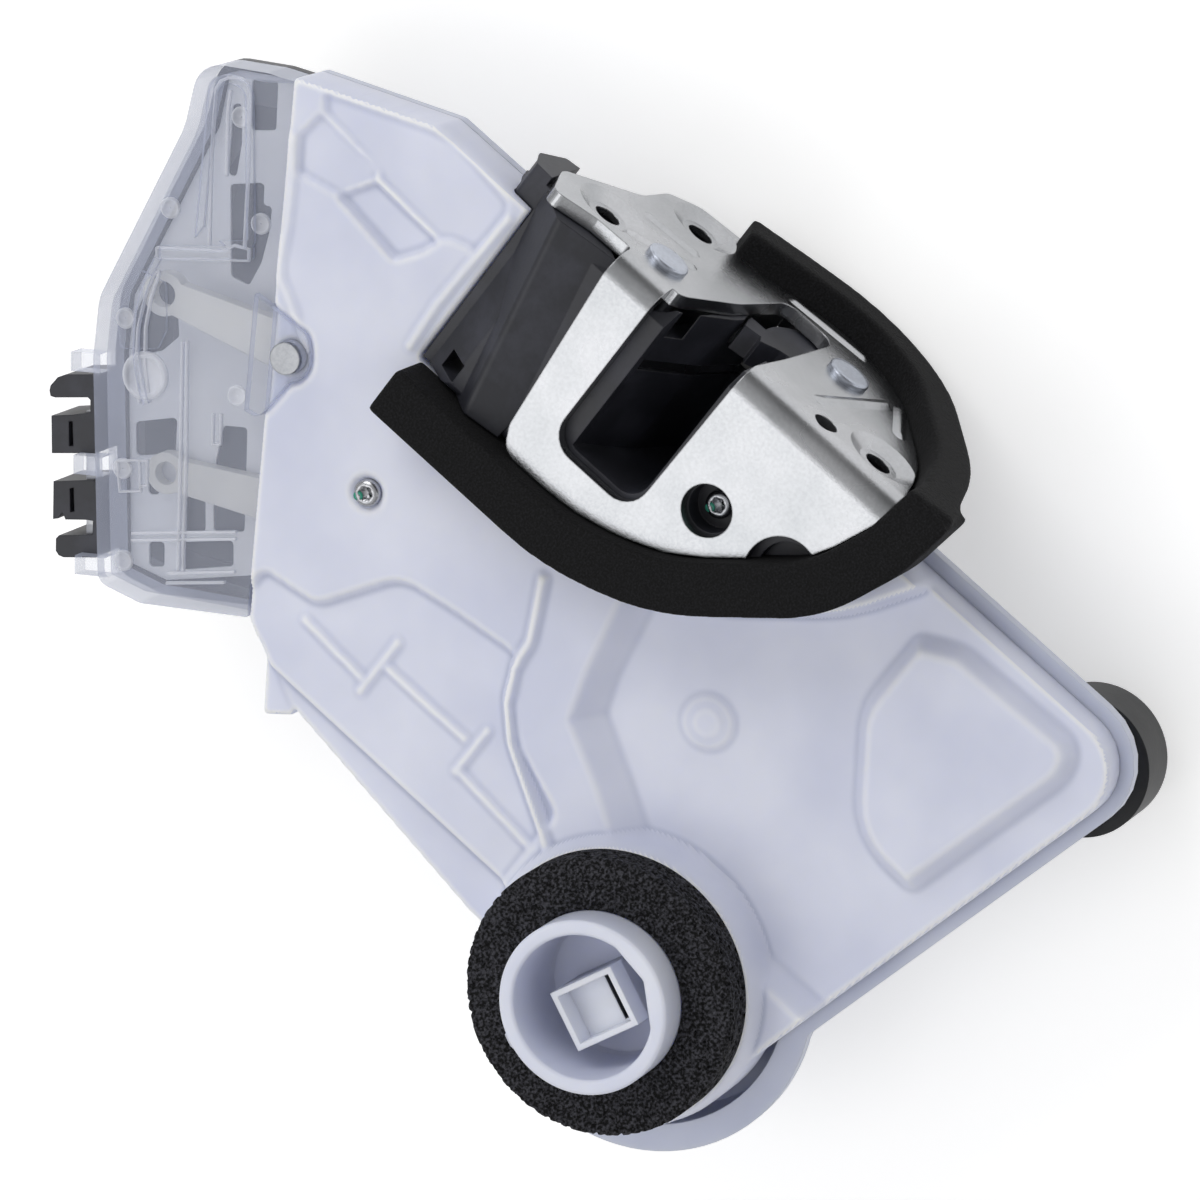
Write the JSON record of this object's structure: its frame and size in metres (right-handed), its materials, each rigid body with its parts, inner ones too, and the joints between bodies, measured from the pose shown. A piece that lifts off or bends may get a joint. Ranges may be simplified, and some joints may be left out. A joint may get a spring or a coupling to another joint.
{
  "type": "door latch actuator",
  "caption": "Power door latch: steel fork-and-pawl latch in a white plastic lock housing with levers and connector.",
  "frame": {"origin": "axis of the upper fixing hole in the plane of the shut face", "axes": "+X out of the shut face, +Y along the shut face towards the cable end, +Z out of the inboard cover"},
  "size_m": [0.1489, 0.2161, 0.0678],
  "materials": {
    "zinc_steel": "zinc plated",
    "hard_steel": "ground",
    "spring_steel": "drawn wire",
    "black_plastic": "satin",
    "white_plastic": "satin",
    "milky_plastic": "satin",
    "clear_plastic": "translucent",
    "natural_plastic": "satin",
    "black_rubber": "matt",
    "black_foam": "foam",
    "contact_brass": "bright"
  },
  "bodies": {
    "lock_housing": {"latch_plate": "zinc_steel", "latch_body": "black_plastic", "back_plate": "zinc_steel", "fork_pin": "hard_steel", "fork_spring": "spring_steel", "pawl_pin": "hard_steel", "pawl_spring": "spring_steel", "striker_buffer": "black_rubber", "plate_screw": "zinc_steel", "latch_seal": "black_foam", "cover": "white_plastic", "cover_screw": "zinc_steel", "outer_case": "milky_plastic", "case_screws": "zinc_steel", "clear_cover": "clear_plastic", "lever_base": "black_plastic", "cable_holder": "black_plastic", "cable_strap": "clear_plastic", "inside_pin": "hard_steel", "inside_spring": "spring_steel", "lock_pin": "hard_steel", "wheel_pin": "hard_steel", "motor_can": "zinc_steel", "motor_cap": "black_plastic", "motor_contacts": "contact_brass", "worm_bearing": "black_plastic", "lock_switch": "black_plastic", "key_switch": "black_plastic", "lead_frame": "contact_brass", "contact_carrier": "black_plastic", "connector_block": "white_plastic", "connector_pins": "contact_brass", "connector_seal": "black_foam", "key_sleeve": "black_rubber", "outside_pin": "hard_steel", "outside_spring": "spring_steel"},
    "fork_body": {"fork": "hard_steel", "fork_jacket": "black_plastic"},
    "pawl_body": {"pawl": "hard_steel", "pawl_peg": "hard_steel"},
    "inside_lever_body": {"inside_lever": "natural_plastic"},
    "release_link_body": {"release_link": "natural_plastic"},
    "outside_lever_body": {"outside_lever": "zinc_steel"},
    "outside_link_body": {"outside_link": "natural_plastic"},
    "worm_wheel_body": {"worm_wheel": "natural_plastic"},
    "lock_lever_body": {"lock_lever": "natural_plastic"},
    "worm_body": {"worm": "natural_plastic", "motor_shaft": "hard_steel"},
    "key_rotor_body": {"key_rotor": "black_plastic", "key_lever": "natural_plastic"}
  },
  "joints": [
    {"name": "fork_hinge", "type": "hinge", "parent": "lock_housing", "child": "fork_body", "pos_m": [-0.006, -0.0498, -0.0164], "axis": [1, 0, 0], "range_deg": [-62, 0], "stiffness_Nm_per_rad": 0.02, "deforming": ["fork_spring"]},
    {"name": "pawl_hinge", "type": "hinge", "parent": "lock_housing", "child": "pawl_body", "pos_m": [-0.006, -0.0142, 0.0018], "axis": [1, 0, 0], "range_deg": [-6, 0], "stiffness_Nm_per_rad": 0.02, "deforming": ["pawl_spring"]},
    {"name": "inside_lever_hinge", "type": "hinge", "parent": "lock_housing", "child": "inside_lever_body", "pos_m": [-0.0615, 0.03, 0], "axis": [0, 0, 1], "range_deg": [0, 30], "stiffness_Nm_per_rad": 0.02, "deforming": ["inside_spring"]},
    {"name": "release_link_slide", "type": "slide", "parent": "lock_housing", "child": "release_link_body", "axis": [0, 1, 0], "range_m": [0, 0.0064]},
    {"name": "outside_lever_hinge", "type": "hinge", "parent": "lock_housing", "child": "outside_lever_body", "pos_m": [-0.06, 0.022, -0.022], "axis": [0, 0, 1], "range_deg": [0, 18], "stiffness_Nm_per_rad": 0.02, "deforming": ["outside_spring"]},
    {"name": "outside_link_slide", "type": "slide", "parent": "lock_housing", "child": "outside_link_body", "axis": [0, 1, 0], "range_m": [0, 0.0064]},
    {"name": "worm_wheel_hinge", "type": "hinge", "parent": "lock_housing", "child": "worm_wheel_body", "pos_m": [-0.083, -0.013, -0.008], "axis": [0, 0, 1], "range_deg": [-72, 0]},
    {"name": "lock_lever_hinge", "type": "hinge", "parent": "lock_housing", "child": "lock_lever_body", "pos_m": [-0.086, 0.0121, -0.0034], "axis": [0, 0, 1], "range_deg": [0, 18]},
    {"name": "worm_hinge", "type": "hinge", "parent": "lock_housing", "child": "worm_body", "pos_m": [-0.1004, -0.013, -0.00825], "axis": [0, 1, 0], "range_deg": [-2016, 0]},
    {"name": "key_rotor_hinge", "type": "hinge", "parent": "lock_housing", "child": "key_rotor_body", "pos_m": [-0.0275, -0.127, -0.02], "axis": [0, 0, 1], "range_deg": [-40, 20]}
  ],
  "couplings": [
    {"joint": "release_link_slide", "follows": "inside_lever_hinge", "m_per_rad": 0.011863},
    {"joint": "outside_link_slide", "follows": "outside_lever_hinge", "m_per_rad": 0.019719},
    {"joint": "lock_lever_hinge", "follows": "worm_wheel_hinge", "ratio": -0.25},
    {"joint": "worm_hinge", "follows": "worm_wheel_hinge", "ratio": 28}
  ]
}
